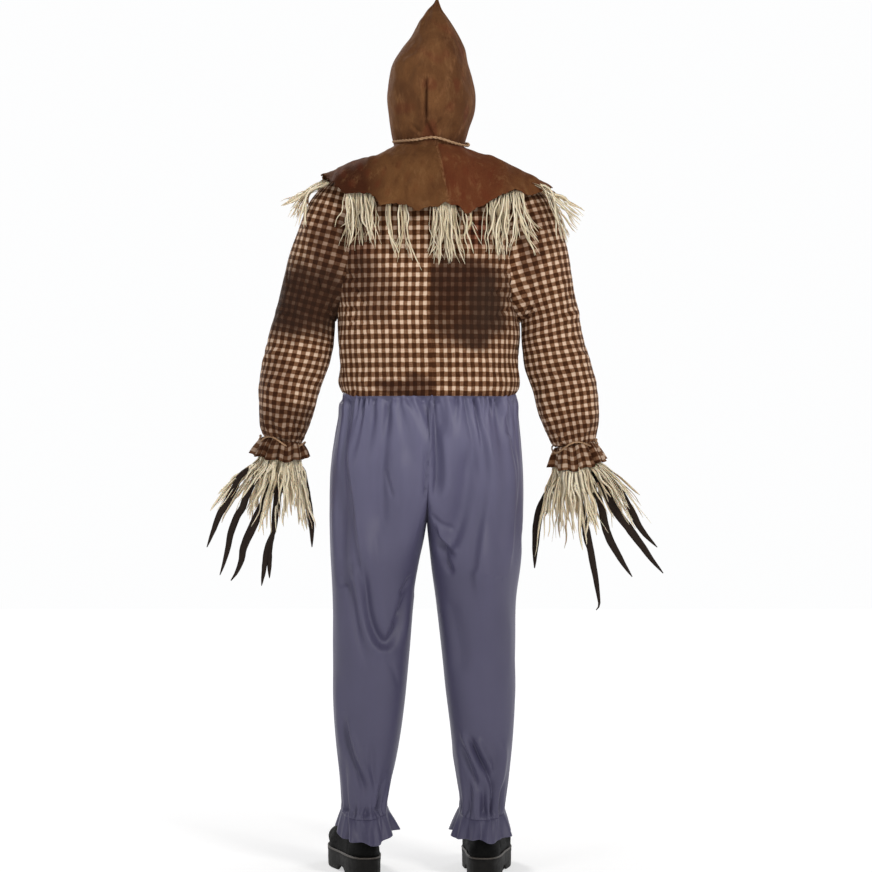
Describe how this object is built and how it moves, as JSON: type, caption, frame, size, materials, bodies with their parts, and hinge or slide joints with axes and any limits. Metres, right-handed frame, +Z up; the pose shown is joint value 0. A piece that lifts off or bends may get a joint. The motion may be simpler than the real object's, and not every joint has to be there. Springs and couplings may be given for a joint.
{
  "type": "scarecrow display figure",
  "caption": "Life-size free-standing scarecrow with a hooded head, check shirt, raffia trim, long claws, boots and posable arms on a tube frame.",
  "frame": {"origin": "on the floor, midway between the extremes of the figure in X and Y", "axes": "+Z up the figure, -Y the way it faces, +X towards its left hand"},
  "size_m": [0.9591, 0.3237, 1.83],
  "materials": {
    "steel": "satin welded tube",
    "zinc": "zinc-plated",
    "bush_plastic": "matt",
    "stuffing": "matt fibre wadding",
    "gingham": "brown and cream woven check, stained",
    "trouser_cloth": "matt slate-purple cotton",
    "sackcloth": "brushed brown sackcloth",
    "mask_cloth": "coarse tan sackcloth",
    "raffia": "dry flat raffia strands",
    "cord": "twisted jute cord",
    "claw_cloth": "dark coarse cloth over wire",
    "boot_leather": "black suede",
    "sole_rubber": "matt black rubber",
    "button": "polished dark horn effect"
  },
  "bodies": {
    "torso": {"cape": "sackcloth", "fringe_centre_back": "raffia", "fringe_left_back": "raffia", "fringe_left_front": "raffia", "fringe_left_shoulder": "raffia", "fringe_right_back": "raffia", "fringe_right_front": "raffia", "fringe_right_shoulder": "raffia", "hip_yoke": "steel", "left_boot": "boot_leather", "left_foot_plate": "steel", "left_leg_tube": "steel", "left_outsole": "sole_rubber", "left_shoulder_bolt": "zinc", "neck_cord": "cord", "neck_cord_left_tail": "cord", "neck_cord_right_tail": "cord", "right_boot": "boot_leather", "right_foot_plate": "steel", "right_leg_tube": "steel", "right_outsole": "sole_rubber", "right_shoulder_bolt": "zinc", "shirt_body": "gingham", "shoulder_bar": "steel", "spine_tube": "steel", "torso_stuffing": "stuffing", "trouser_stuffing": "stuffing", "trousers": "trouser_cloth"},
    "head": {"face_mask": "mask_cloth", "head_form": "stuffing", "hood": "sackcloth", "left_eye_button": "button", "neck_bush": "bush_plastic", "right_eye_button": "button"},
    "left_upper_arm": {"left_elbow_bolt": "zinc", "left_upper_arm_rod": "steel", "left_upper_sleeve": "gingham"},
    "left_forearm": {"left_forearm_rod": "steel", "left_lower_sleeve": "gingham", "left_wrist_cord": "cord"},
    "left_index": {"left_index_claw": "claw_cloth"},
    "left_little": {"left_little_claw": "claw_cloth"},
    "left_middle": {"left_middle_claw": "claw_cloth"},
    "left_hand": {"left_palm": "claw_cloth", "left_wrist_raffia": "raffia"},
    "left_ring": {"left_ring_claw": "claw_cloth"},
    "left_thumb": {"left_thumb_claw": "claw_cloth"},
    "right_upper_arm": {"right_elbow_bolt": "zinc", "right_upper_arm_rod": "steel", "right_upper_sleeve": "gingham"},
    "right_forearm": {"right_forearm_rod": "steel", "right_lower_sleeve": "gingham", "right_wrist_cord": "cord"},
    "right_index": {"right_index_claw": "claw_cloth"},
    "right_little": {"right_little_claw": "claw_cloth"},
    "right_middle": {"right_middle_claw": "claw_cloth"},
    "right_hand": {"right_palm": "claw_cloth", "right_wrist_raffia": "raffia"},
    "right_ring": {"right_ring_claw": "claw_cloth"},
    "right_thumb": {"right_thumb_claw": "claw_cloth"}
  },
  "joints": [
    {"name": "head_turn", "type": "hinge", "parent": "torso", "child": "head", "pos_m": [0, 0, 1.541], "axis": [0, 0, 1], "range_deg": [-60, 60]},
    {"name": "left_shoulder_raise", "type": "hinge", "parent": "torso", "child": "left_upper_arm", "pos_m": [0.2, 0, 1.38], "axis": [0, -1, 0], "range_deg": [0, 70]},
    {"name": "left_elbow_bend", "type": "hinge", "parent": "left_upper_arm", "child": "left_forearm", "pos_m": [0.268, 0, 1.12], "axis": [-0.9675, 0, -0.253], "range_deg": [0, 90]},
    {"name": "left_wrist_turn", "type": "hinge", "parent": "left_forearm", "child": "left_hand", "pos_m": [0.308, 0, 0.88], "axis": [0.1644, 0, -0.9864], "range_deg": [-90, 90]},
    {"name": "left_thumb_curl", "type": "hinge", "parent": "left_hand", "child": "left_thumb", "pos_m": [0.275, 0, 0.824], "axis": [0.8298, 0, -0.558], "range_deg": [-10, 60]},
    {"name": "left_index_curl", "type": "hinge", "parent": "left_hand", "child": "left_index", "pos_m": [0.304, 0, 0.8], "axis": [0.9851, 0, 0.1718], "range_deg": [-10, 60]},
    {"name": "left_middle_curl", "type": "hinge", "parent": "left_hand", "child": "left_middle", "pos_m": [0.325, 0, 0.795], "axis": [0.8057, 0, 0.5924], "range_deg": [-10, 60]},
    {"name": "left_ring_curl", "type": "hinge", "parent": "left_hand", "child": "left_ring", "pos_m": [0.345, 0, 0.803], "axis": [0.629, 0, 0.7774], "range_deg": [-10, 60]},
    {"name": "left_little_curl", "type": "hinge", "parent": "left_hand", "child": "left_little", "pos_m": [0.36, 0, 0.818], "axis": [0.4679, 0, 0.8838], "range_deg": [-10, 60]},
    {"name": "right_shoulder_raise", "type": "hinge", "parent": "torso", "child": "right_upper_arm", "pos_m": [-0.2, 0, 1.38], "axis": [0, 1, 0], "range_deg": [0, 70]},
    {"name": "right_elbow_bend", "type": "hinge", "parent": "right_upper_arm", "child": "right_forearm", "pos_m": [-0.268, 0, 1.12], "axis": [-0.9675, 0, 0.253], "range_deg": [0, 90]},
    {"name": "right_wrist_turn", "type": "hinge", "parent": "right_forearm", "child": "right_hand", "pos_m": [-0.308, 0, 0.88], "axis": [-0.1644, 0, -0.9864], "range_deg": [-90, 90]},
    {"name": "right_thumb_curl", "type": "hinge", "parent": "right_hand", "child": "right_thumb", "pos_m": [-0.275, 0, 0.824], "axis": [0.7731, 0, 0.6343], "range_deg": [-10, 60]},
    {"name": "right_index_curl", "type": "hinge", "parent": "right_hand", "child": "right_index", "pos_m": [-0.302, 0, 0.8], "axis": [0.9032, 0, -0.4293], "range_deg": [-10, 60]},
    {"name": "right_middle_curl", "type": "hinge", "parent": "right_hand", "child": "right_middle", "pos_m": [-0.325, 0, 0.795], "axis": [0.7541, 0, -0.6568], "range_deg": [-10, 60]},
    {"name": "right_ring_curl", "type": "hinge", "parent": "right_hand", "child": "right_ring", "pos_m": [-0.345, 0, 0.803], "axis": [0.6814, 0, -0.7319], "range_deg": [-10, 60]},
    {"name": "right_little_curl", "type": "hinge", "parent": "right_hand", "child": "right_little", "pos_m": [-0.36, 0, 0.818], "axis": [0.4755, 0, -0.8797], "range_deg": [-10, 60]}
  ]
}
